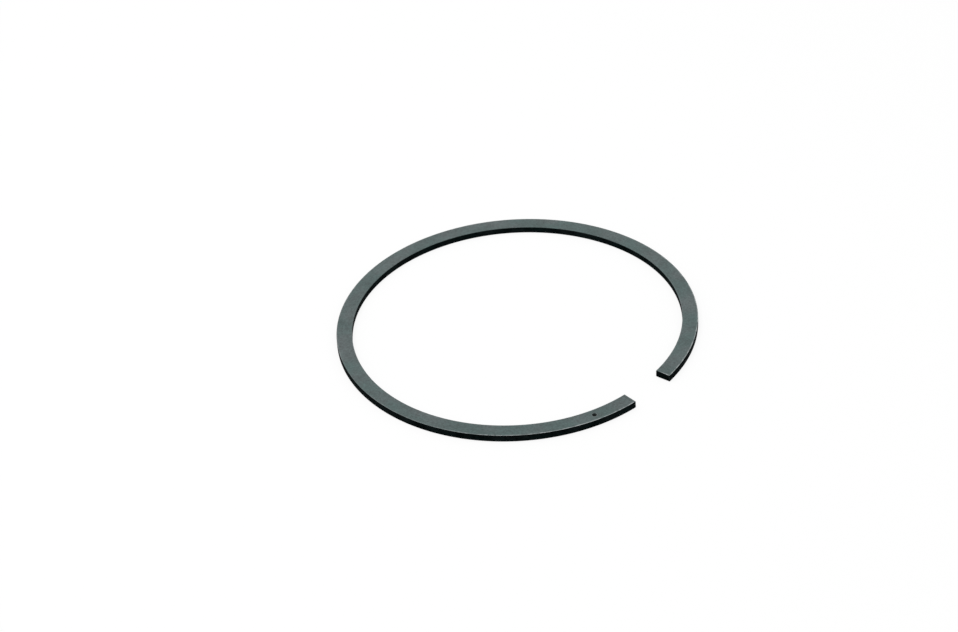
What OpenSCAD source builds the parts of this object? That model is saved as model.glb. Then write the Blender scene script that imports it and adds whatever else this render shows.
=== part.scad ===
// Piston ring: a plain cast iron compression ring, lying free on its lower side face.
// It is one piece with one cut, whose gap faces -Y. The footprint is centred on the origin and +Z is up.
// A free ring isn't round. It is wider and flatter at the back than at the ends, so that it presses
// evenly on the whole bore once the gap is closed.

/* [Bore and section] */
// Bore of the cylinder that the ring closes into
bore_d = 95.25; // [70:0.05:150]
// Radial wall, from the inside to the running face
wall = 4.33; // [3:0.01:6]
// Height between the two side faces
height = 1.98; // [1.2:0.01:4]
// Taper of the running face in degrees, with the smaller end at the marked side
face_taper = 1; // [0:0.1:2]

/* [Gap] */
// Gap between the ends while the ring is free
free_gap = 13.4; // [8:0.1:24]
// Gap that is left when the ring is closed into the bore
closed_gap = 0.4; // [0.2:0.05:1]

/* [Broken edges] */
// Break of the two edges of the running face
outer_break = 0.1; // [0.05:0.01:0.4]
// Break of the two edges of the inside
inner_break = 0.15; // [0.05:0.01:0.5]
// Break of the four edges round each end
end_break = 0.12; // [0.05:0.01:0.5]

/* [Top mark] */
// Diameter of the dot that is drilled in the side that faces up in the engine
mark_d = 1.3; // [0.6:0.05:1.6]
// Point angle of the drill that makes the dot
mark_point = 118; // [90:1:140]
// Distance from the end of the ring to the dot, along the wall's middle line
mark_from_end = 11.6; // [5:0.1:30]

/* [Hidden] */
$fn = 180;

iron_colour = [0.35, 0.4, 0.4];

// How far a cutter runs past the surface that it opens
overcut = 1;

half_wall = wall / 2;

// Radius and length of the wall's middle line in the closed ring. The length is the same in the free ring.
closed_r = (bore_d - wall) / 2;
middle_length = 2 * PI * closed_r - closed_gap;

// The even pressure asks for a free curvature of (1 - bend * (1 + cos(angle from the back))) / closed_r.
// The half at the back and the two quarters at the ends each take the mean of that as one arc.
function back_radius(bend) = closed_r / (1 - bend * (1 + 2 / PI));
function tip_radius(bend) = closed_r / (1 - bend * (1 - 2 / PI));
function tip_sweep(back, tip) = acos((free_gap / 2 - (back - tip)) / tip);
function arcs_length(back, tip) = PI * (back + 2 * tip * tip_sweep(back, tip) / 180);

// The bend is corrected until the three arcs are as long as the closed ring.
function settle(bend, passes) =
    let (error = middle_length - arcs_length(back_radius(bend), tip_radius(bend)))
    passes == 0 ? bend : settle(bend + error / middle_length, passes - 1);
bend = settle((free_gap - closed_gap) / (3 * PI * closed_r), 8);

// Radii of the middle line in whole micrometres. The arcs meet on the X axis, where they share a tangent.
function to_micrometre(length) = round(length * 1000) / 1000;
back_r = to_micrometre(back_radius(bend));
tip_r = to_micrometre(tip_radius(bend));
tip_x = back_r - tip_r;
tip_angle = tip_sweep(back_r, tip_r);

// The back arc's centre lies off the middle of the footprint, because the two sides of the gap fall short.
footprint_back = back_r + half_wall;
footprint_front = (tip_r + half_wall) * sin(tip_angle);
centre_y = to_micrometre((footprint_front - footprint_back) / 2);

mark_depth = mark_d / 2 / tan(mark_point / 2);
mark_angle = tip_angle - mark_from_end / tip_r * 180 / PI;

// How far the taper has drawn the running face in at a height above the lower side face
function drawn_in(z) = z * tan(face_taper);

// Section of the wall at a radius of the middle line, standing on its lower side face
module section(radius) {
    translate([radius, 0])
        polygon([
            [inner_break - half_wall, 0],
            [half_wall - outer_break, 0],
            [half_wall - drawn_in(outer_break), outer_break],
            [half_wall - drawn_in(height - outer_break), height - outer_break],
            [half_wall - drawn_in(height) - outer_break, height],
            [inner_break - half_wall, height],
            [-half_wall, height - inner_break],
            [-half_wall, inner_break]
        ]);
}

module back_arc() {
    rotate_extrude(angle = 180)
        section(back_r);
}

// The quarter on the +X side, from the X axis to the end at the gap
module tip_arc() {
    translate([tip_x, 0, 0])
        mirror([0, 1, 0])
            rotate_extrude(angle = tip_angle)
                section(tip_r);
}

// Puts its children on the +X quarter's middle line at an angle from the X axis, with +X outwards
module on_tip(angle) {
    translate([tip_x, 0, 0])
        rotate(-angle)
            translate([tip_r, 0, 0])
                children();
}

// Blocks that break the four edges round an end at 45 degrees: above, outside, below and inside
module end_edge_cutters() {
    block = wall + 2 * overcut;
    reach = [height / 2, half_wall];
    for (side = [0:3])
        translate([0, 0, height / 2])
            rotate([0, 90 * side, 0])
                translate([0, 0, reach[side % 2]])
                    rotate([45, 0, 0])
                        translate([0, 0, (block - end_break * sqrt(2)) / 2])
                            cube(block, center = true);
}

// Drill point that sinks the dot into the upper side face
module mark_cutter() {
    run = mark_depth + overcut;
    translate([0, 0, height - mark_depth])
        cylinder(h = run, r1 = 0, r2 = run * tan(mark_point / 2));
}

module piston_ring() {
    color(iron_colour)
        translate([0, centre_y, 0])
            difference() {
                union() {
                    back_arc();
                    tip_arc();
                    mirror([1, 0, 0]) tip_arc();
                }
                on_tip(tip_angle) end_edge_cutters();
                mirror([1, 0, 0]) {
                    on_tip(tip_angle) end_edge_cutters();
                    on_tip(mark_angle) mark_cutter();
                }
            }
}

piston_ring();
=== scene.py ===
"""Looks of a piston ring: one split ring of phosphated cast iron that lies free on a white table.

The ring follows the same rule as its solid. Its middle line is a half circle at the back and a tighter
arc on each side of the gap, and one section runs along it. Lengths are in metres.
"""

import logging
import math
from dataclasses import dataclass
from enum import Enum
from typing import ClassVar, Union

import bpy
from mathutils import Matrix, Vector


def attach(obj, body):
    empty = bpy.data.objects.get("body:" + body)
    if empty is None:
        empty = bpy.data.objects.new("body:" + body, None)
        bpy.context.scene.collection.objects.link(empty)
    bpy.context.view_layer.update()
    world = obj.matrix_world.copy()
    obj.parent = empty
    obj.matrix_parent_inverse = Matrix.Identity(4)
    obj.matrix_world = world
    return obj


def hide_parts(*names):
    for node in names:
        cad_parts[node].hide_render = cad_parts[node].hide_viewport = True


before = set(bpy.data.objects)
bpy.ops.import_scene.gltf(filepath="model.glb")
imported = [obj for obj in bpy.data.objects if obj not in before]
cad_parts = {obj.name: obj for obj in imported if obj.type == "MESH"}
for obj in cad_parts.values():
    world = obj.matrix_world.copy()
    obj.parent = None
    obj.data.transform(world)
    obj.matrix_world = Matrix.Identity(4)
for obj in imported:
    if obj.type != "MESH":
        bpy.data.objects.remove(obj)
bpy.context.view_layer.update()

LOG = logging.getLogger("piston_ring")

# The name of the ring's own map, laid out flat for baking its finishes.
BAKE_MAP = "OFBake"

MM = 0.001
QUARTER_TURN = math.pi / 2
WHITE = (1.0, 1.0, 1.0, 1.0)

# How far a normal stands up on a slope of 45 degrees.
SLOPE_LIFT = math.cos(math.pi / 4)

# A Mix node repeats its socket names for each type of value, so its colour sockets are reached by place.
MIX_FIRST = 6
MIX_SECOND = 7
MIX_RESULT = 2

Colour = tuple[float, float, float]
Point = tuple[float, float, float]
Key = Union[str, int]
Feed = Union["Field", bpy.types.NodeSocket, bpy.types.Material, float, int, bool, str, tuple]
Fields = dict[str, "Field"]


class End(Enum):
    """An end of the ring at the gap, by the sign of its X."""

    LEFT = -1
    RIGHT = 1


class Corner(Enum):
    """A rounded edge of the wall's section, in the order that the section runs through them."""

    LOWER_OUTER = 0
    UPPER_OUTER = 1
    UPPER_INNER = 2
    LOWER_INNER = 3


class Measure(Enum):
    """A number that each point of the ring carries, by the name of its attribute."""

    FROM_END = "from_end"
    ACROSS = "across"
    RISE = "rise"


class Surface(Enum):
    """A kind of surface on the ring, by the name of the input that takes its finish."""

    SIDE = "Side Finish"
    WALL = "Wall Finish"
    DOT = "Dot Finish"


class TreeSort(Enum):
    """What a node tree makes, by Blender's name for such a tree."""

    SHADER = "ShaderNodeTree"
    GEOMETRY = "GeometryNodeTree"


class Way(Enum):
    """Whether a socket leads into a node tree or out of it, by Blender's name for it."""

    IN = "INPUT"
    OUT = "OUTPUT"


class Socket(Enum):
    """A type of input or output of a node tree, by Blender's name for it."""

    NUMBER = "NodeSocketFloat"
    VECTOR = "NodeSocketVector"
    MATERIAL = "NodeSocketMaterial"
    GEOMETRY = "NodeSocketGeometry"


class Field:
    """A value that changes over the shape, held as one output socket of a node tree."""

    def __init__(self, bench: "NodeBench", socket: bpy.types.NodeSocket) -> None:
        """Keeps the bench that adds nodes and the socket that gives the value."""
        self.bench = bench
        self.socket = socket

    def __add__(self, other: Feed) -> "Field":
        """Returns the sum."""
        return self.bench.math("ADD", self, other)

    def __radd__(self, other: Feed) -> "Field":
        """Returns the sum."""
        return self.bench.math("ADD", other, self)

    def __sub__(self, other: Feed) -> "Field":
        """Returns the difference."""
        return self.bench.math("SUBTRACT", self, other)

    def __rsub__(self, other: Feed) -> "Field":
        """Returns the difference from another value."""
        return self.bench.math("SUBTRACT", other, self)

    def __mul__(self, other: Feed) -> "Field":
        """Returns the product."""
        return self.bench.math("MULTIPLY", self, other)

    def __truediv__(self, other: Feed) -> "Field":
        """Returns the quotient."""
        return self.bench.math("DIVIDE", self, other)

    def __abs__(self) -> "Field":
        """Returns the size without its sign."""
        return self.bench.math("ABSOLUTE", self)

    def sin(self) -> "Field":
        """Returns the sine."""
        return self.bench.math("SINE", self)

    def cos(self) -> "Field":
        """Returns the cosine."""
        return self.bench.math("COSINE", self)

    def tan(self) -> "Field":
        """Returns the tangent."""
        return self.bench.math("TANGENT", self)

    def root(self) -> "Field":
        """Returns the square root."""
        return self.bench.math("SQRT", self)

    def sign(self) -> "Field":
        """Returns -1, 0 or 1."""
        return self.bench.math("SIGN", self)

    def floor(self) -> "Field":
        """Returns the whole number below."""
        return self.bench.math("FLOOR", self)

    def least(self, other: Feed) -> "Field":
        """Returns the smaller of two values."""
        return self.bench.math("MINIMUM", self, other)

    def most(self, other: Feed) -> "Field":
        """Returns the larger of two values."""
        return self.bench.math("MAXIMUM", self, other)

    def above(self, other: Feed) -> "Field":
        """Returns 1 where this value is the larger one, and 0 elsewhere."""
        return self.bench.math("GREATER_THAN", self, other)

    def below(self, other: Feed) -> "Field":
        """Returns 1 where this value is the smaller one, and 0 elsewhere."""
        return self.bench.math("LESS_THAN", self, other)

    def within(self, low: Feed, high: Feed) -> "Field":
        """Returns the value held between two limits."""
        return self.most(low).least(high)

    def on_face(self) -> "Field":
        """Returns the value in the middle of each face, for all of its corners."""
        settings = {"data_type": "FLOAT", "domain": "FACE"}
        return self.bench.field("GeometryNodeFieldOnDomain", {0: self}, **settings)

    def swing(self, depth: float) -> "Field":
        """Returns a value that runs from 0 to 1 as a swing of the given depth about 0."""
        return (self - 0.5) * depth


class NodeBench:
    """Adds nodes to one tree and joins them."""

    def __init__(self, tree: bpy.types.NodeTree) -> None:
        """Keeps the tree that the nodes go in."""
        self.tree = tree

    def feed(self, socket: bpy.types.NodeSocket, value: Feed) -> None:
        """Puts a value on an input, or links a field to it.

        Args:
            socket: The input.
            value: A field or an output socket to link, or a constant to set.
        """
        if isinstance(value, Field):
            value = value.socket
        if isinstance(value, bpy.types.NodeSocket):
            self.tree.links.new(value, socket)
        else:
            socket.default_value = value

    def add(self, kind: str, feeds: dict[Key, Feed], **settings: object) -> bpy.types.Node:
        """Adds one node.

        Args:
            kind: Blender's name for the type of node.
            feeds: What goes into each input, by the input's name or place.
            settings: The node's own properties, such as its operation.

        Returns:
            The new node.
        """
        node = self.tree.nodes.new(kind)
        for name, value in settings.items():
            setattr(node, name, value)
        for key, value in feeds.items():
            self.feed(node.inputs[key], value)
        return node

    def field(self, kind: str, feeds: dict[Key, Feed], output: Key = 0, **settings: object) -> Field:
        """Adds one node and returns one of its outputs, by the output's name or place."""
        return Field(self, self.add(kind, feeds, **settings).outputs[output])

    def group(self, tree: bpy.types.NodeTree, feeds: dict[Key, Feed]) -> Fields:
        """Places a shader group and returns its outputs by name."""
        node = self.add("ShaderNodeGroup", feeds, node_tree=tree)
        return {output.name: Field(self, output) for output in node.outputs}

    def math(self, operation: str, *values: Feed) -> Field:
        """Adds one step of arithmetic and returns its result."""
        return self.field("ShaderNodeMath", dict(enumerate(values)), operation=operation)

    def vector(self, x: Feed, y: Feed, z: Feed) -> Field:
        """Returns a vector made of three values."""
        return self.field("ShaderNodeCombineXYZ", {"X": x, "Y": y, "Z": z})

    def moved(self, place: Feed, step: Feed) -> Field:
        """Returns a place moved by a step."""
        return self.field("ShaderNodeVectorMath", {0: place, 1: step}, operation="ADD")

    def parts(self, vector: Feed) -> tuple[Field, ...]:
        """Returns the three values of a vector."""
        node = self.add("ShaderNodeSeparateXYZ", {"Vector": vector})
        return tuple(Field(self, output) for output in node.outputs)

    def choose(self, test: Feed, no: Feed, yes: Feed) -> Field:
        """Returns one value where the test is 0 and another where it is 1."""
        return self.field("ShaderNodeMix", {"Factor": test, "A": no, "B": yes}, data_type="FLOAT")

    def blend(self, amount: Feed, first: Feed, second: Feed) -> Field:
        """Returns a colour between two others, where the amount of the second one runs from 0 to 1."""
        feeds = {"Factor": amount, MIX_FIRST: first, MIX_SECOND: second}
        return self.field("ShaderNodeMix", feeds, MIX_RESULT, data_type="RGBA")

    def spread(self, value: Feed, low: Feed, high: Feed, start: Feed, stop: Feed) -> Field:
        """Runs smoothly from start to stop as a value goes from low to high, and holds them outside."""
        feeds = {"Value": value, "From Min": low, "From Max": high, "To Min": start, "To Max": stop}
        return self.field("ShaderNodeMapRange", feeds, interpolation_type="SMOOTHSTEP")

    def noise(self, place: Feed, scale: Feed, detail: float, roughness: float) -> Field:
        """Returns cloudy noise about 0.5, whose finer layers have a detail and a roughness."""
        feeds = {"Vector": place, "Scale": scale, "Detail": detail, "Roughness": roughness}
        return self.field("ShaderNodeTexNoise", feeds, "Fac")

    def measure(self, wanted: Measure) -> Field:
        """Returns a number that the ring's mesh carries, for a finish to read."""
        return self.field("ShaderNodeAttribute", {}, "Fac", attribute_name=wanted.value)

    def stored(self, wanted: Measure) -> Field:
        """Returns a number that the ring's mesh carries, for the ring's own tree to read."""
        return self.field("GeometryNodeInputNamedAttribute", {"Name": wanted.value}, data_type="FLOAT")

    def place(self) -> tuple[Field, ...]:
        """Returns the X, Y and Z of each point of a geometry."""
        return self.parts(self.field("GeometryNodeInputPosition", {}))

    def lift(self) -> Field:
        """Returns how far the normal of each face of a geometry stands up, from -1 to 1."""
        _, _, normal_z = self.parts(self.field("GeometryNodeInputNormal", {}, "True Normal"))
        return normal_z

    def seen(self) -> Field:
        """Tells rays that show a surface from rays that only carry light.

        Returns:
            1 for what the camera sees, straight or by reflection or through glass, and 0 elsewhere.
        """
        path = self.add("ShaderNodeLightPath", {})
        straight = Field(self, path.outputs["Is Camera Ray"])
        mirrored = Field(self, path.outputs["Is Glossy Ray"])
        through = Field(self, path.outputs["Is Transmission Ray"])
        return straight.most(mirrored).most(through)

    def captured(self, curve: bpy.types.Node, values: Fields) -> tuple[bpy.types.Node, Fields]:
        """Keeps values on the points of a curve.

        Args:
            curve: The node that gives the curve.
            values: The values, by name.

        Returns:
            The node that gives the curve with its values, and the values as later nodes read them.
        """
        node = self.add("GeometryNodeCaptureAttribute", {"Geometry": curve.outputs[0]})
        for name, value in values.items():
            kind = "VECTOR" if value.socket.type == "VECTOR" else "FLOAT"
            node.capture_items.new(kind, name)
            self.feed(node.inputs[name], value)
        return node, {name: Field(self, node.outputs[name]) for name in values}


class NodeGroup(NodeBench):
    """A node tree of its own, with named inputs and outputs."""

    def __init__(
        self, name: str, sort: TreeSort, inputs: dict[str, Socket], outputs: dict[str, Socket]
    ) -> None:
        """Starts the tree.

        Args:
            name: The tree's name.
            sort: What the tree makes.
            inputs: The type of each input, by its name.
            outputs: The type of each output, by its name.
        """
        super().__init__(bpy.data.node_groups.new(name, sort.value))
        self.keys = {label: self.socket(label, Way.IN, kind) for label, kind in inputs.items()}
        for label, kind in outputs.items():
            self.socket(label, Way.OUT, kind)
        source = self.add("NodeGroupInput", {})
        self.given = {label: Field(self, source.outputs[label]) for label in inputs}
        self.out = self.add("NodeGroupOutput", {})

    def socket(self, label: str, way: Way, kind: Socket) -> str:
        """Adds an input or an output to the tree and returns its identifier."""
        made = self.tree.interface.new_socket(name=label, in_out=way.value, socket_type=kind.value)
        return made.identifier

    def put(self, label: str, value: Feed) -> None:
        """Sends a value to one of the tree's outputs."""
        self.feed(self.out.inputs[label], value)


def bench_on(owner: Union[bpy.types.Material, bpy.types.World]) -> NodeBench:
    """Gives a material or the world an empty node tree.

    Args:
        owner: The material or the world.

    Returns:
        The bench for its nodes.
    """
    owner.use_nodes = True
    owner.node_tree.nodes.clear()
    return NodeBench(owner.node_tree)


@dataclass(frozen=True)
class Clouds:
    """Cloudy noise that is stretched, so that the range from low to high fills the result."""

    detail: float
    roughness: float
    low: float
    high: float

    def over(
        self, bench: NodeBench, place: Feed, scale: Feed, start: Feed = 0.0, stop: Feed = 1.0
    ) -> Field:
        """Returns the noise at a place, as a value from start to stop."""
        noise = bench.noise(place, scale, self.detail, self.roughness)
        return bench.spread(noise, self.low, self.high, start, stop)


@dataclass(frozen=True)
class Mottle:
    """Slow patches of tint and shade, as a phosphate bath leaves them.

    The shade is finer than the tint, and it is read at a shifted place, so that it doesn't follow the tint.
    """

    tint: Clouds = Clouds(detail=2.0, roughness=0.5, low=0.3, high=0.7)
    shade: Clouds = Clouds(detail=3.0, roughness=0.5, low=0.28, high=0.72)
    shade_finer: float = 1.7
    shade_shift: Point = (0.37, -0.61, 0.23)

    def group(self) -> bpy.types.NodeTree:
        """Makes the shader group.

        Returns:
            The group. Its Tint and Shade run from 0 to 1.
        """
        inputs = {"Vector": Socket.VECTOR, "Scale": Socket.NUMBER}
        outputs = {"Tint": Socket.NUMBER, "Shade": Socket.NUMBER}
        bench = NodeGroup("Mottle", TreeSort.SHADER, inputs, outputs)
        place = bench.given["Vector"]
        scale = bench.given["Scale"]
        elsewhere = bench.moved(place, self.shade_shift)
        bench.put("Tint", self.tint.over(bench, place, scale))
        bench.put("Shade", self.shade.over(bench, elsewhere, scale * self.shade_finer))
        return bench.tree


@dataclass(frozen=True)
class Grain:
    """The fine crystals of the phosphate."""

    crystals: Clouds = Clouds(detail=3.0, roughness=0.65, low=0.25, high=0.75)

    def group(self) -> bpy.types.NodeTree:
        """Makes the shader group.

        Returns:
            The group. Its Value runs from 0 to 1.
        """
        inputs = {"Vector": Socket.VECTOR, "Scale": Socket.NUMBER}
        bench = NodeGroup("Grain", TreeSort.SHADER, inputs, {"Value": Socket.NUMBER})
        bench.put("Value", self.crystals.over(bench, bench.given["Vector"], bench.given["Scale"]))
        return bench.tree


@dataclass(frozen=True)
class TurnedLines:
    """Fine tool lines that run round the ring.

    A line changes slowly along its length, with so many patches for each metre.
    """

    lines: Clouds = Clouds(detail=2.0, roughness=0.6, low=0.3, high=0.7)
    patches_along: float = 40.0

    def group(self) -> bpy.types.NodeTree:
        """Makes the shader group.

        Returns:
            The group. Its Value runs from 0 to 1.
        """
        inputs = {"Along": Socket.NUMBER, "Step": Socket.NUMBER, "Pitch": Socket.NUMBER}
        bench = NodeGroup("TurnedLines", TreeSort.SHADER, inputs, {"Value": Socket.NUMBER})
        given = bench.given
        place = bench.vector(given["Along"] * self.patches_along, given["Step"] / given["Pitch"], 0.0)
        bench.put("Value", self.lines.over(bench, place, 1.0))
        return bench.tree


@dataclass(frozen=True)
class EdgeWearAndHighlight:
    """Edges that are lighter, most of all near the gap: partly rubbed by handling and partly painted
    highlight.

    Scales are in patches for each metre. Shares are parts of the width of the lighter band, or of the wall.
    """

    ragged_scale: float = 420.0
    ragged_detail: float = 3.0
    ragged_roughness: float = 0.6
    least_reach_share: float = 0.35
    ragged_reach_share: float = 1.3
    bare_share: float = 0.45
    broken: Clouds = Clouds(detail=2.0, roughness=0.5, low=0.36, high=0.6)
    broken_scale: float = 900.0
    broken_least: float = 0.35
    handled: Clouds = Clouds(detail=1.0, roughness=0.5, low=0.4, high=0.6)
    handled_scale: float = 55.0
    handled_most: float = 3.0
    gap_fade_start: float = 16.0 * MM
    gap_fade_stop: float = 75.0 * MM
    half_band_share: float = 0.3
    rim_set_back_share: float = 0.55
    rim_fall_inside: float = 6.0
    marked_cut_wear: float = 0.1
    cut_fade_start: float = 0.3 * MM
    cut_fade_stop: float = 0.7 * MM

    def group(self) -> bpy.types.NodeTree:
        """Makes the shader group.

        Returns:
            The group. Its Mask is 0 where the finish is whole and 1 where it is rubbed off and lightened as
            a painted highlight.
        """
        vectors = ("Vector", "Mark")
        numbers = ("From End", "Across", "Rise", "Wall", "Height", "Mark Radius", "Width", "Least", "Inner")
        inputs = {**dict.fromkeys(vectors, Socket.VECTOR), **dict.fromkeys(numbers, Socket.NUMBER)}
        bench = NodeGroup("EdgeWearAndHighlight", TreeSort.SHADER, inputs, {"Mask": Socket.NUMBER})
        place = bench.given["Vector"]
        ragged = bench.noise(place, self.ragged_scale, self.ragged_detail, self.ragged_roughness)
        reach = bench.given["Width"] * (self.least_reach_share + ragged * self.ragged_reach_share)
        rubbed = bench.spread(self.from_edge(bench), reach * self.bare_share, reach, 1.0, 0.0)
        broken = self.broken.over(bench, place, self.broken_scale, self.broken_least)
        bench.put("Mask", rubbed * broken * self.near_gap(bench) * self.outside(bench) * self.on_cut(bench))
        return bench.tree

    def from_edge(self, bench: NodeGroup) -> Field:
        """Measures how far a point lies from an edge of the ring, or from the rim of the dot.

        Args:
            bench: The group.

        Returns:
            The smaller of the two distances. The rim's is set back, and it grows faster inside the dot.
        """
        given = bench.given
        from_wall = given["Wall"] * 0.5 - abs(given["Across"])
        from_side = given["Height"] * 0.5 - abs(given["Rise"] - given["Height"] * 0.5)
        from_end = given["From End"]
        # An edge is where two of these three are 0, so the two smaller ones are added.
        from_edge = from_wall + from_side + from_end - from_wall.most(from_side).most(from_end)
        ends = {0: given["Vector"], 1: given["Mark"]}
        from_mark = bench.field("ShaderNodeVectorMath", ends, "Value", operation="DISTANCE")
        off_rim = from_mark - given["Mark Radius"]
        from_rim = off_rim.most(off_rim * -self.rim_fall_inside)
        return from_edge.least(from_rim + given["Width"] * self.rim_set_back_share)

    def near_gap(self, bench: NodeGroup) -> Field:
        """Works out how much is rubbed and painted as highlight along the ring.

        Args:
            bench: The group.

        Returns:
            1 near the gap, and patches of less rubbing and painted highlight further off.
        """
        least = bench.given["Least"]
        most = least * self.handled_most
        handled = self.handled.over(bench, bench.given["Vector"], self.handled_scale, least, most)
        return bench.spread(bench.given["From End"], self.gap_fade_start, self.gap_fade_stop, 1.0, handled)

    def outside(self, bench: NodeGroup) -> Field:
        """Returns how much is rubbed and painted as highlight across the wall, which is 1 on the outside
        and less on the inside.
        """
        half_band = bench.given["Wall"] * self.half_band_share
        return bench.spread(bench.given["Across"], half_band * -1.0, half_band, bench.given["Inner"], 1.0)

    def on_cut(self, bench: NodeGroup) -> Field:
        """Works out how much is rubbed and painted as highlight beside the two cuts.

        Args:
            bench: The group.

        Returns:
            1, and less on the cut at the end that has the dot.
        """
        x, _, _ = bench.parts(bench.given["Vector"])
        mark_x, _, _ = bench.parts(bench.given["Mark"])
        cut_wear = bench.choose((x * mark_x).above(0.0), 1.0, self.marked_cut_wear)
        return bench.spread(bench.given["From End"], self.cut_fade_start, self.cut_fade_stop, cut_wear, 1.0)


@dataclass(frozen=True)
class SurfaceEffects:
    """Shader groups that the finishes share."""

    mottle: bpy.types.NodeTree
    grain: bpy.types.NodeTree
    turned_lines: bpy.types.NodeTree
    edge_wear_and_highlight: bpy.types.NodeTree

    @classmethod
    def made(cls) -> "SurfaceEffects":
        """Makes each group once."""
        return cls(Mottle().group(), Grain().group(), TurnedLines().group(), EdgeWearAndHighlight().group())


@dataclass(frozen=True)
class IronFinish:
    """How one kind of surface on the ring looks.

    Colours are linear. Scales are in patches for each metre.
    """

    name: str
    colour: Colour
    drift: Colour
    # The colour of the lighter edges, partly rubbed metal and partly painted highlight.
    worn_and_highlight: Colour
    specular: float
    roughness: float
    shade_depth: float
    mottle_scale: float
    grain_scale: float
    grain_depth: float
    grain_height: float
    line_axis: Measure
    line_pitch: float
    line_depth: float
    wear_and_highlight_width: float
    wear_and_highlight_least: float
    wear_and_highlight_inner: float
    grain_roughness: float = 0.16
    wear_polish: float = 0.14
    wear_metal: float = 0.35
    grain_relief: float = 0.6
    line_relief: float = 0.4

    def material(self, effects: SurfaceEffects, ring: "PistonRing") -> bpy.types.Material:
        """Makes the finish as a material.

        Args:
            effects: The shader groups to place in it.
            ring: The ring that wears it, for its sizes.

        Returns:
            The material.
        """
        made = bpy.data.materials.new(self.name)
        made.diffuse_color = (*self.colour, 1.0)
        bench = bench_on(made)
        place = bench.field("ShaderNodeTexCoord", {}, "Object")
        mottle = bench.group(effects.mottle, {"Vector": place, "Scale": self.mottle_scale})
        grain = bench.group(effects.grain, {"Vector": place, "Scale": self.grain_scale})["Value"]
        lines = self.lines(bench, effects)
        wear_and_highlight = self.wear_and_highlight(bench, effects, place, ring)
        bright = 1.0 + mottle["Shade"].swing(self.shade_depth)
        bright = bright + grain.swing(self.grain_depth) + lines.swing(self.line_depth)
        tinted = bench.blend(mottle["Tint"], (*self.colour, 1.0), (*self.drift, 1.0))
        shaded = bench.field("ShaderNodeVectorMath", {0: tinted, "Scale": bright}, operation="SCALE")
        relief = grain * self.grain_relief + lines * self.line_relief
        bump = {"Height": relief, "Distance": self.grain_height, "Strength": 1.0}
        # The lighter edges are partly rubbed metal and partly a painted highlight.
        shader = bench.add(
            "ShaderNodeBsdfPrincipled",
            {
                "Base Color": bench.blend(wear_and_highlight, shaded, (*self.worn_and_highlight, 1.0)),
                "Roughness": self.roughness + grain.swing(self.grain_roughness) - wear_and_highlight * self.wear_polish,
                "Metallic": wear_and_highlight * self.wear_metal,
                "Specular IOR Level": self.specular,
                "Normal": bench.field("ShaderNodeBump", bump),
            },
        )
        bench.add("ShaderNodeOutputMaterial", {"Surface": shader.outputs[0]})
        return made

    def lines(self, bench: NodeBench, effects: SurfaceEffects) -> Field:
        """Places the tool lines.

        Args:
            bench: The bench of the material.
            effects: The shader groups.

        Returns:
            The lines, from 0 to 1.
        """
        feeds = {
            "Along": bench.measure(Measure.FROM_END),
            "Step": bench.measure(self.line_axis),
            "Pitch": self.line_pitch,
        }
        return bench.group(effects.turned_lines, feeds)["Value"]

    def wear_and_highlight(self, bench: NodeBench, effects: SurfaceEffects, place: Field, ring: "PistonRing") -> Field:
        """Places the rubbed edges and their painted highlight.

        Args:
            bench: The bench of the material.
            effects: The shader groups.
            place: Where the surface lies.
            ring: The ring that wears the finish.

        Returns:
            The rubbing and painted highlight, from 0 to 1.
        """
        feeds = {
            "Vector": place,
            "From End": bench.measure(Measure.FROM_END),
            "Across": bench.measure(Measure.ACROSS),
            "Rise": bench.measure(Measure.RISE),
            "Wall": ring.wall,
            "Height": ring.height,
            "Mark": ring.mark_place(),
            "Mark Radius": ring.mark_diameter / 2,
            "Width": self.wear_and_highlight_width,
            "Least": self.wear_and_highlight_least,
            "Inner": self.wear_and_highlight_inner,
        }
        return bench.group(effects.edge_wear_and_highlight, feeds)["Mask"]


GROUND_SIDE = IronFinish(
    name="ground_side",
    colour=(0.053, 0.087, 0.084),
    drift=(0.073, 0.092, 0.093),
    worn_and_highlight=(0.34, 0.37, 0.37),
    specular=0.4,
    roughness=0.5,
    shade_depth=0.22,
    mottle_scale=110.0,
    grain_scale=1700.0,
    grain_depth=0.65,
    grain_height=0.012 * MM,
    line_axis=Measure.ACROSS,
    line_pitch=0.22 * MM,
    line_depth=0.1,
    wear_and_highlight_width=0.4 * MM,
    wear_and_highlight_least=0.12,
    wear_and_highlight_inner=0.12,
)

# The walls' near-black colour is the phosphate darkened by painted shade; the side faces keep the lighter
# tone.
WALL_PAINTED_SHADE = IronFinish(
    name="wall_painted_shade",
    colour=(0.0022, 0.0046, 0.0047),
    drift=(0.0044, 0.0064, 0.0067),
    worn_and_highlight=(0.016, 0.02, 0.02),
    specular=0.002,
    roughness=0.55,
    shade_depth=0.9,
    mottle_scale=140.0,
    grain_scale=1900.0,
    grain_depth=0.9,
    grain_height=0.01 * MM,
    line_axis=Measure.RISE,
    line_pitch=0.12 * MM,
    line_depth=0.5,
    wear_and_highlight_width=0.16 * MM,
    wear_and_highlight_least=0.3,
    wear_and_highlight_inner=0.5,
)

# The dot's dark colour is painted shade in the drilled hollow.
DOT_PAINTED_SHADE = IronFinish(
    name="dot_painted_shade",
    colour=(0.005, 0.007, 0.007),
    drift=(0.0075, 0.009, 0.009),
    worn_and_highlight=(0.1, 0.11, 0.11),
    specular=0.05,
    roughness=0.5,
    shade_depth=0.4,
    mottle_scale=900.0,
    grain_scale=5200.0,
    grain_depth=0.5,
    grain_height=0.006 * MM,
    line_axis=Measure.RISE,
    line_pitch=0.04 * MM,
    line_depth=0.5,
    wear_and_highlight_width=0.04 * MM,
    wear_and_highlight_least=0.3,
    wear_and_highlight_inner=0.5,
)

FINISHES = {Surface.SIDE: GROUND_SIDE, Surface.WALL: WALL_PAINTED_SHADE, Surface.DOT: DOT_PAINTED_SHADE}


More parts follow.
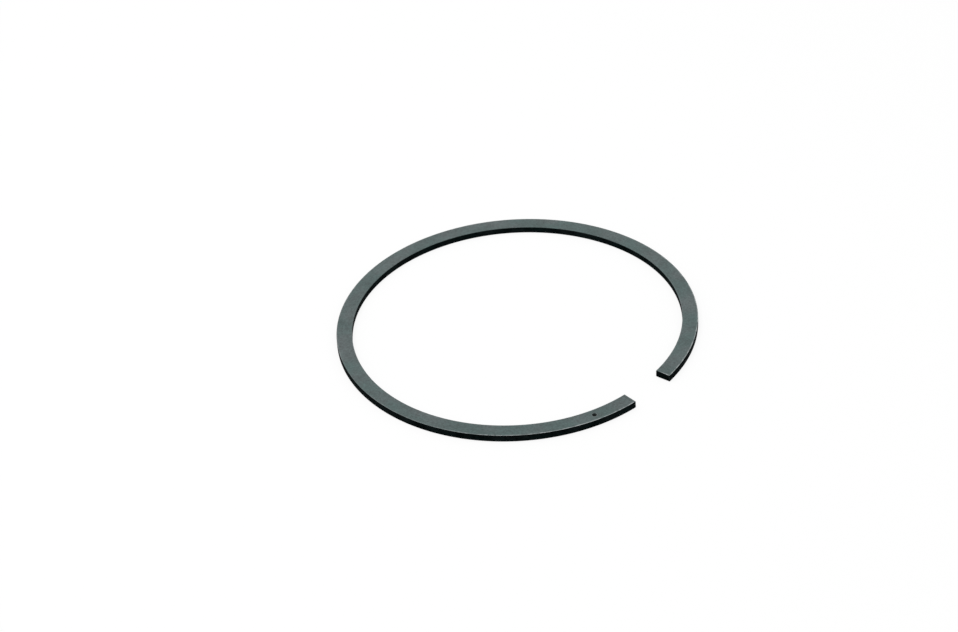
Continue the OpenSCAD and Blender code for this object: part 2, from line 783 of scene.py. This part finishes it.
@dataclass
class PistonRing:
    """The split ring, from its sizes to its finished mesh.

    The middle line is measured from the back of the ring, where it is 0, towards both ends. A lift is how
    far a face's normal stands up: past the outer or the inner one, by the wall's half that the face lies
    on, it is finished as a side, and below it keeps the wall's finish, whose dark colour is painted shade.
    Past the flat one it is shaded flat. The map for the bake has rows, with a space between its strips.
    """

    NAME: ClassVar[str] = "ring_iron"

    wall: float = 4.33 * MM
    height: float = 1.98 * MM
    face_taper: float = math.radians(1.0)
    back_radius: float = 47.877 * MM
    tip_radius: float = 45.975 * MM
    free_gap: float = 13.4 * MM
    outer_round: float = 0.12 * MM
    inner_round: float = 0.17 * MM
    end_round: float = 0.14 * MM
    mark_diameter: float = 1.3 * MM
    mark_point: float = math.radians(118.0)
    mark_from_end: float = 11.6 * MM
    mark_end: End = End.LEFT
    mark_skin: float = 0.001 * MM
    drill_overrun: float = 2.0
    outer_lift: float = 0.85
    inner_lift: float = 0.3
    flat_lift: float = 0.999
    map_rows: int = 5
    map_space: float = 0.5 * MM
    steps_along: int = 421
    steps_round_end: int = 6
    steps_round_edge: int = 6
    steps_round_mark: int = 48

    @property
    def tip_sweep(self) -> float:
        """Returns the angle that each arc beside the gap runs through."""
        return math.acos((self.free_gap / 2 - (self.back_radius - self.tip_radius)) / self.tip_radius)

    @property
    def half_length(self) -> float:
        """Returns the length of the middle line from the back to an end."""
        return self.back_radius * QUARTER_TURN + self.tip_radius * self.tip_sweep

    @property
    def centre_y(self) -> float:
        """Returns the Y of the arcs' centres, which puts the footprint's middle on the origin."""
        front = (self.tip_radius + self.wall / 2) * math.sin(self.tip_sweep)
        return (front - self.back_radius - self.wall / 2) / 2

    def mark_place(self) -> Point:
        """Works out where the dot is drilled.

        Returns:
            The middle of the dot on the upper side face.
        """
        way = self.mark_end.value
        angle = way * (QUARTER_TURN + self.tip_sweep - self.mark_from_end / self.tip_radius)
        x = way * (self.back_radius - self.tip_radius) + self.tip_radius * math.sin(angle)
        y = self.centre_y + self.tip_radius * math.cos(angle)
        return x, y, self.height

    def sizes(self) -> dict[str, float]:
        """Returns the sizes that the tree takes as named inputs."""
        return {
            "Wall": self.wall,
            "Height": self.height,
            "Face Taper": self.face_taper,
            "Back Radius": self.back_radius,
            "Tip Radius": self.tip_radius,
            "Half Length": self.half_length,
            "Centre Y": self.centre_y,
            "Outer Round": self.outer_round,
            "Inner Round": self.inner_round,
            "End Round": self.end_round,
            "Mark Radius": self.mark_diameter / 2,
            "Mark Slope": math.tan(self.mark_point / 2),
            "Mark Along": self.mark_end.value * (self.half_length - self.mark_from_end),
        }

    @staticmethod
    def place_on_line(bench: NodeGroup, along: Field) -> tuple[Field, Field]:
        """Works out a point of the middle line.

        Args:
            bench: The ring's tree.
            along: The distance from the back, less than 0 on the left.

        Returns:
            The point, and the direction outwards there.
        """
        size = bench.given
        half_back = size["Back Radius"] * QUARTER_TURN
        on_back = along.within(half_back * -1.0, half_back)
        on_tip = along - on_back
        angle = on_back / size["Back Radius"] + on_tip / size["Tip Radius"]
        is_tip = abs(on_tip).above(0.0)
        radius = bench.choose(is_tip, size["Back Radius"], size["Tip Radius"])
        centre_x = on_tip.sign() * (size["Back Radius"] - size["Tip Radius"])
        x = centre_x + radius * angle.sin()
        y = size["Centre Y"] + radius * angle.cos()
        return bench.vector(x, y, 0.0), bench.vector(angle.sin(), angle.cos(), 0.0)

    def middle_line(self, bench: NodeGroup) -> tuple[bpy.types.Node, Fields]:
        """Draws the middle line, with close steps where the ends are rounded.

        Args:
            bench: The ring's tree.

        Returns:
            The node that gives the line, and what each of its points carries: its place, the direction
            outwards and how far the section is drawn in there.
        """
        size = bench.given
        middle_step = (self.steps_along - 1) / 2
        even_steps = middle_step - self.steps_round_end
        step = bench.field("GeometryNodeInputIndex", {}) - middle_step
        turn = ((middle_step - abs(step)) / self.steps_round_end).within(0.0, 1.0) * QUARTER_TURN
        even = (abs(step) / even_steps).least(1.0) * (size["Half Length"] - size["End Round"])
        along = step.sign() * (even + size["End Round"] * turn.cos())
        point, outwards = self.place_on_line(bench, along)
        line = bench.add("GeometryNodeCurvePrimitiveLine", {"End": (1.0, 0.0, 0.0)})
        count = {"Curve": line.outputs[0], "Count": self.steps_along}
        steps = bench.add("GeometryNodeResampleCurve", count)
        bent = bench.add("GeometryNodeSetPosition", {"Geometry": steps.outputs[0], "Position": point})
        drawn_in = size["End Round"] * (1.0 - turn.sin())
        return bench.captured(bent, {"Place": point, "Outwards": outwards, "Drawn In": drawn_in})

    def section(self, bench: NodeGroup) -> tuple[bpy.types.Node, Fields]:
        """Draws the section of the wall with its four rounded edges, from the lower outer edge upwards.

        Args:
            bench: The ring's tree.

        Returns:
            The node that gives the section, and what each of its points carries: its distance outwards from
            the middle line and its height.
        """
        size = bench.given
        points = self.steps_round_edge + 1
        index = bench.field("GeometryNodeInputIndex", {})
        corner = (index / points).floor()
        # The first corner turns from straight down to straight out, and each one goes on from the last.
        turn = (corner - 1.0 + (index - corner * points) / self.steps_round_edge) * QUARTER_TURN
        is_inner = corner.above(Corner.UPPER_OUTER.value)
        is_upper = corner.above(Corner.LOWER_OUTER.value) * corner.below(Corner.LOWER_INNER.value)
        rounding = bench.choose(is_inner, size["Outer Round"], size["Inner Round"])
        side = 1.0 - is_inner * 2.0
        across = side * (size["Wall"] * 0.5 - rounding) + rounding * turn.cos()
        rise = bench.choose(is_upper, rounding, size["Height"] - rounding) + rounding * turn.sin()
        taper = (1.0 - is_inner) * rise * size["Face Taper"].tan()
        loop = bench.add("GeometryNodeCurvePrimitiveCircle", {"Resolution": len(Corner) * points})
        return bench.captured(loop, {"Across": across - taper, "Rise": rise})

    def swept(self, bench: NodeGroup) -> bpy.types.Node:
        """Runs the section along the middle line and rounds the two ends.

        Args:
            bench: The ring's tree.

        Returns:
            The node that gives the closed mesh.
        """
        size = bench.given
        line, on_line = self.middle_line(bench)
        loop, on_loop = self.section(bench)
        tube = bench.add(
            "GeometryNodeCurveToMesh",
            {"Curve": line.outputs[0], "Profile Curve": loop.outputs[0], "Fill Caps": True},
        )
        # At the ends the section is drawn in by one step all round, towards a spine at half its height.
        half_height = size["Height"] * 0.5
        half_spine = size["Wall"] * 0.5 - half_height
        spine = on_loop["Across"].within(half_spine * -1.0, half_spine)
        kept = 1.0 - on_line["Drawn In"] / half_height
        across = spine + (on_loop["Across"] - spine) * kept
        rise = half_height + (on_loop["Rise"] - half_height) * kept
        x, y, _ = bench.parts(on_line["Outwards"])
        place = bench.moved(on_line["Place"], bench.vector(x * across, y * across, rise))
        return bench.add("GeometryNodeSetPosition", {"Geometry": tube.outputs[0], "Position": place})

    def marked(self, bench: NodeGroup, ring: bpy.types.Node) -> bpy.types.Node:
        """Sinks the dot into the upper side face with a drill point.

        Args:
            bench: The ring's tree.
            ring: The node that gives the ring's mesh.

        Returns:
            The node that gives the marked mesh.
        """
        size = bench.given
        depth = size["Mark Radius"] / size["Mark Slope"]
        point, _ = self.place_on_line(bench, size["Mark Along"])
        x, y, _ = bench.parts(point)
        drill = bench.add(
            "GeometryNodeMeshCone",
            {
                "Vertices": self.steps_round_mark,
                "Radius Top": size["Mark Radius"] * self.drill_overrun,
                "Radius Bottom": 0.0,
                "Depth": depth * self.drill_overrun,
            },
        )
        tip = bench.vector(x, y, size["Height"] - depth)
        placed = bench.add("GeometryNodeTransform", {"Geometry": drill.outputs[0], "Translation": tip})
        return bench.add(
            "GeometryNodeMeshBoolean",
            {"Mesh 1": ring.outputs[0], "Mesh 2": placed.outputs[0]},
            operation="DIFFERENCE",
            solver="EXACT",
        )

    @staticmethod
    def measured(bench: NodeGroup, ring: bpy.types.Node) -> bpy.types.Node:
        """Stores on each point where it lies on the ring, for the finishes to read.

        Args:
            bench: The ring's tree.
            ring: The node that gives the marked mesh.

        Returns:
            The node that gives the mesh with its numbers.
        """
        size = bench.given
        x, y, z = bench.place()
        y = y - size["Centre Y"]
        is_tip = y.below(0.0)
        x = x - is_tip * x.sign() * (size["Back Radius"] - size["Tip Radius"])
        radius = bench.choose(is_tip, size["Back Radius"], size["Tip Radius"])
        angle = abs(bench.math("ARCTAN2", x, y))
        on_back = angle.least(QUARTER_TURN)
        on_tip = angle - on_back
        from_end = size["Half Length"] - on_back * size["Back Radius"] - on_tip * size["Tip Radius"]
        across = (x * x + y * y).root() - radius
        numbers = {Measure.FROM_END: from_end, Measure.ACROSS: across, Measure.RISE: z}
        node = ring
        for measure, value in numbers.items():
            feeds = {"Geometry": node.outputs[0], "Name": measure.value, "Value": value}
            node = bench.add("GeometryNodeStoreNamedAttribute", feeds, data_type="FLOAT", domain="POINT")
        return node

    def on_band(self, bench: NodeGroup) -> tuple[Field, Field]:
        """Lays the four sides of the wall out side by side: top, running face, underside and inside.

        Args:
            bench: The ring's tree.

        Returns:
            How far down the band a corner of a face lies, and how far the whole band goes down.
        """
        size = bench.given
        across = bench.stored(Measure.ACROSS)
        rise = bench.stored(Measure.RISE)
        lift = bench.lift().on_face()
        is_outer = across.on_face().above(0.0)
        running_face = size["Wall"] + self.map_space
        underside = running_face + size["Height"] + self.map_space
        inside = underside + size["Wall"] + self.map_space
        down = bench.choose(is_outer, inside + rise, running_face + size["Height"] - rise)
        down = bench.choose(lift.below(-SLOPE_LIFT), down, underside + size["Wall"] * 0.5 - across)
        down = bench.choose(lift.above(SLOPE_LIFT), down, size["Wall"] * 0.5 + across)
        return down, inside + size["Height"] + self.map_space

    def mapped(self, bench: NodeGroup, ring: bpy.types.Node) -> bpy.types.Node:
        """Lays the surface out flat for the bake, straightened so that it fills the map.

        The band of the four sides is cut into rows, and the two ends lie beside the rows.

        Args:
            bench: The ring's tree.
            ring: The node that gives the measured mesh.

        Returns:
            The node that gives the mesh with its map.
        """
        size = bench.given
        from_end = bench.stored(Measure.FROM_END)
        x, _, _ = bench.place()
        side = x.on_face().sign()
        row_length = size["Half Length"] * (2.0 / self.map_rows)
        along = size["Half Length"] + x.sign() * (size["Half Length"] - from_end)
        row = (along.on_face() / row_length).floor().within(0.0, self.map_rows - 1.0)
        down, band = self.on_band(bench)
        # A face can reach a little past the end of its row, so there is more space beside the rows.
        beside = self.map_space * 2.0
        end_u = row_length + beside + size["Wall"] * 0.5 + side * bench.stored(Measure.ACROSS)
        end_v = side.most(0.0) * (size["Height"] + self.map_space) + bench.stored(Measure.RISE)
        is_end = from_end.on_face().below(size["End Round"] * (1.0 - SLOPE_LIFT))
        u = beside + bench.choose(is_end, along - row * row_length, end_u)
        v = self.map_space + bench.choose(is_end, down + row * band, end_v)
        whole = band * float(self.map_rows) + self.map_space
        place = bench.vector(u / whole, v / whole, 0.0)
        feeds = {"Geometry": ring.outputs[0], "Name": BAKE_MAP, "Value": place}
        return bench.add("GeometryNodeStoreNamedAttribute", feeds, data_type="FLOAT2", domain="CORNER")

    def inside_mark(self, bench: NodeGroup) -> Field:
        """Tells the faces of the dot, which take its painted shade, from the rest.

        Args:
            bench: The ring's tree.

        Returns:
            1 on the faces that the drill has made, and 0 elsewhere.
        """
        size = bench.given
        point, _ = self.place_on_line(bench, size["Mark Along"])
        mark_x, mark_y, _ = bench.parts(point)
        x, y, z = bench.place()
        x = x - mark_x
        y = y - mark_y
        is_near = (x * x + y * y).root().below(size["Mark Radius"])
        is_sunk = (size["Height"] - z).above(self.mark_skin)
        return is_near * is_sunk * z.above(size["Height"] * 0.5)

    def dressed(self, bench: NodeGroup, ring: bpy.types.Node) -> bpy.types.Node:
        """Gives the side faces, the walls and the dot their finishes; the walls' and dot's dark colours are
        painted shade.

        Args:
            bench: The ring's tree, whose inputs hold the three materials.
            ring: The node that gives the measured mesh.

        Returns:
            The node that gives the finished mesh.
        """
        # The dot's faces take a finish whose dark colour is painted shade in the hollow.
        in_mark = self.inside_mark(bench)
        lift = abs(bench.lift())
        is_outer = bench.stored(Measure.ACROSS).above(0.0)
        # Faces that stand up less than the lift for their half of the wall keep the wall's finish, whose
        # dark colour is painted shade.
        side_lift = bench.choose(is_outer, self.inner_lift, self.outer_lift)
        is_side = lift.above(side_lift) * (1.0 - in_mark)
        whole = bench.add("GeometryNodeRealizeInstances", {"Geometry": ring.outputs[0]})
        shading = {"Geometry": whole.outputs[0], "Shade Smooth": 1.0 - lift.above(self.flat_lift)}
        node = bench.add("GeometryNodeSetShadeSmooth", shading, domain="FACE")
        where = {Surface.WALL: True, Surface.SIDE: is_side, Surface.DOT: in_mark}
        for surface, faces in where.items():
            finish = {"Selection": faces, "Material": bench.given[surface.value]}
            node = bench.add("GeometryNodeSetMaterial", {"Geometry": node.outputs[0], **finish})
        return node

    def tree(self) -> NodeGroup:
        """Builds the geometry tree of the ring.

        Returns:
            The tree, with its named inputs.
        """
        inputs = dict.fromkeys(self.sizes(), Socket.NUMBER)
        inputs.update({surface.value: Socket.MATERIAL for surface in Surface})
        bench = NodeGroup("PistonRing", TreeSort.GEOMETRY, inputs, {"Geometry": Socket.GEOMETRY})
        ring = self.marked(bench, self.swept(bench))
        ring = self.dressed(bench, self.mapped(bench, self.measured(bench, ring)))
        bench.put("Geometry", ring.outputs[0])
        return bench

    def build(self, finishes: dict[Surface, bpy.types.Material]) -> bpy.types.Object:
        """Makes the ring as one plain mesh.

        Args:
            finishes: The material of each kind of surface.

        Returns:
            The ring's object, at the origin.
        """
        bench = self.tree()
        piece = bpy.data.objects.new(self.NAME, bpy.data.meshes.new(self.NAME))
        bpy.context.scene.collection.objects.link(piece)
        rule = piece.modifiers.new("rule", "NODES")
        rule.node_group = bench.tree
        for name, value in self.sizes().items():
            rule[bench.keys[name]] = value
        for surface, finish in finishes.items():
            rule[bench.keys[surface.value]] = finish
        shown = piece.evaluated_get(bpy.context.evaluated_depsgraph_get())
        mesh = bpy.data.meshes.new_from_object(shown)
        piece.modifiers.remove(rule)
        piece.data = mesh
        mesh.name = self.NAME
        return piece


@dataclass
class Table:
    """The white table that the ring lies on."""

    size: float = 6.0
    colour: Colour = (0.96, 0.96, 0.96)
    whiteness: float = 0.85

    def build(self) -> bpy.types.Object:
        """Makes the table top.

        Returns:
            The table's object.
        """
        half = self.size / 2
        corners = [(-half, -half, 0.0), (half, -half, 0.0), (half, half, 0.0), (-half, half, 0.0)]
        mesh = bpy.data.meshes.new("table")
        mesh.from_pydata(corners, [], [(0, 1, 2, 3)])
        mesh.materials.append(self.material())
        piece = bpy.data.objects.new("table", mesh)
        bpy.context.scene.collection.objects.link(piece)
        return piece

    def material(self) -> bpy.types.Material:
        """Makes a white that keeps a soft share of the ring's shadow.

        Returns:
            The material.
        """
        made = bpy.data.materials.new("white_table")
        bench = bench_on(made)
        share = bench.seen() * self.whiteness
        top = bench.add("ShaderNodeBsdfDiffuse", {"Color": (*self.colour, 1.0)})
        glow = bench.add("ShaderNodeEmission", {"Color": WHITE, "Strength": 1.0})
        mixed = bench.add("ShaderNodeMixShader", {0: share, 1: top.outputs[0], 2: glow.outputs[0]})
        bench.add("ShaderNodeOutputMaterial", {"Surface": mixed.outputs[0]})
        return made


@dataclass
class Studio:
    """Plain soft light: a white room and one wide lamp overhead."""

    room_strength: float = 0.7
    lamp_power: float = 3.0
    lamp_width: float = 0.7
    lamp_place: Point = (-0.1, 0.12, 0.8)

    def build(self) -> None:
        """Lights the scene and sets how its colours are shown."""
        bpy.context.scene.view_settings.view_transform = "Standard"
        self.build_room()
        self.build_lamp()

    def build_room(self) -> None:
        """Makes the white all round, which is full white where it is seen and dimmer as light."""
        world = bpy.data.worlds.new("white_room")
        bpy.context.scene.world = world
        bench = bench_on(world)
        strength = bench.choose(bench.seen(), self.room_strength, 1.0)
        room = bench.add("ShaderNodeBackground", {"Color": WHITE, "Strength": strength})
        bench.add("ShaderNodeOutputWorld", {"Surface": room.outputs[0]})

    def build_lamp(self) -> None:
        """Hangs the lamp, turned towards the middle of the ring."""
        lamp = bpy.data.lights.new("overhead", "AREA")
        lamp.shape = "SQUARE"
        lamp.size = self.lamp_width
        lamp.energy = self.lamp_power
        holder = bpy.data.objects.new("overhead", lamp)
        holder.location = self.lamp_place
        holder.rotation_euler = (-Vector(self.lamp_place)).to_track_quat("-Z", "Y").to_euler()
        bpy.context.scene.collection.objects.link(holder)


@dataclass
class PhotoCamera:
    """The camera where the photograph was taken from. Its lens and sensor are in millimetres."""

    target: Point = (-3.2105 * MM, 10.7422 * MM, 0.0)
    distance: float = 624.477 * MM
    azimuth: float = math.radians(-44.6018)
    elevation: float = math.radians(36.318)
    roll: float = math.radians(-4.0598)
    lens: float = 84.5454
    sensor_width: float = 36.0
    nearest: float = 0.01
    farthest: float = 20.0

    def build(self) -> bpy.types.Object:
        """Places the camera.

        Returns:
            The camera's object.
        """
        level = math.cos(self.elevation)
        x = math.sin(self.azimuth) * level
        y = -math.cos(self.azimuth) * level
        back = Vector((x, y, math.sin(self.elevation)))
        data = bpy.data.cameras.new("photo_camera")
        data.lens = self.lens
        data.sensor_width = self.sensor_width
        data.clip_start = self.nearest
        data.clip_end = self.farthest
        piece = bpy.data.objects.new("photo_camera", data)
        turned = (-back).to_track_quat("-Z", "Y").to_matrix().to_4x4() @ Matrix.Rotation(self.roll, 4, "Z")
        place = Vector(self.target) + back * self.distance
        piece.matrix_world = Matrix.Translation(place) @ turned
        bpy.context.scene.collection.objects.link(piece)
        bpy.context.scene.camera = piece
        return piece


def main() -> None:
    """Builds the ring, the table, the light and the camera."""
    effects = SurfaceEffects.made()
    form = PistonRing()
    ring = form.build({surface: finish.material(effects, form) for surface, finish in FINISHES.items()})
    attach(ring, "root")
    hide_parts("piston_ring")
    LOG.info("%s: %d vertices, %d faces", ring.name, len(ring.data.vertices), len(ring.data.polygons))
    table = Table().build()
    LOG.info("%s: %.1f m wide", table.name, table.dimensions.x)
    Studio().build()
    camera = PhotoCamera().build()
    LOG.info("%s: %.1f mm lens", camera.name, camera.data.lens)


if __name__ == "__main__":
    logging.basicConfig(level=logging.INFO, format="%(name)s: %(message)s")
    main()
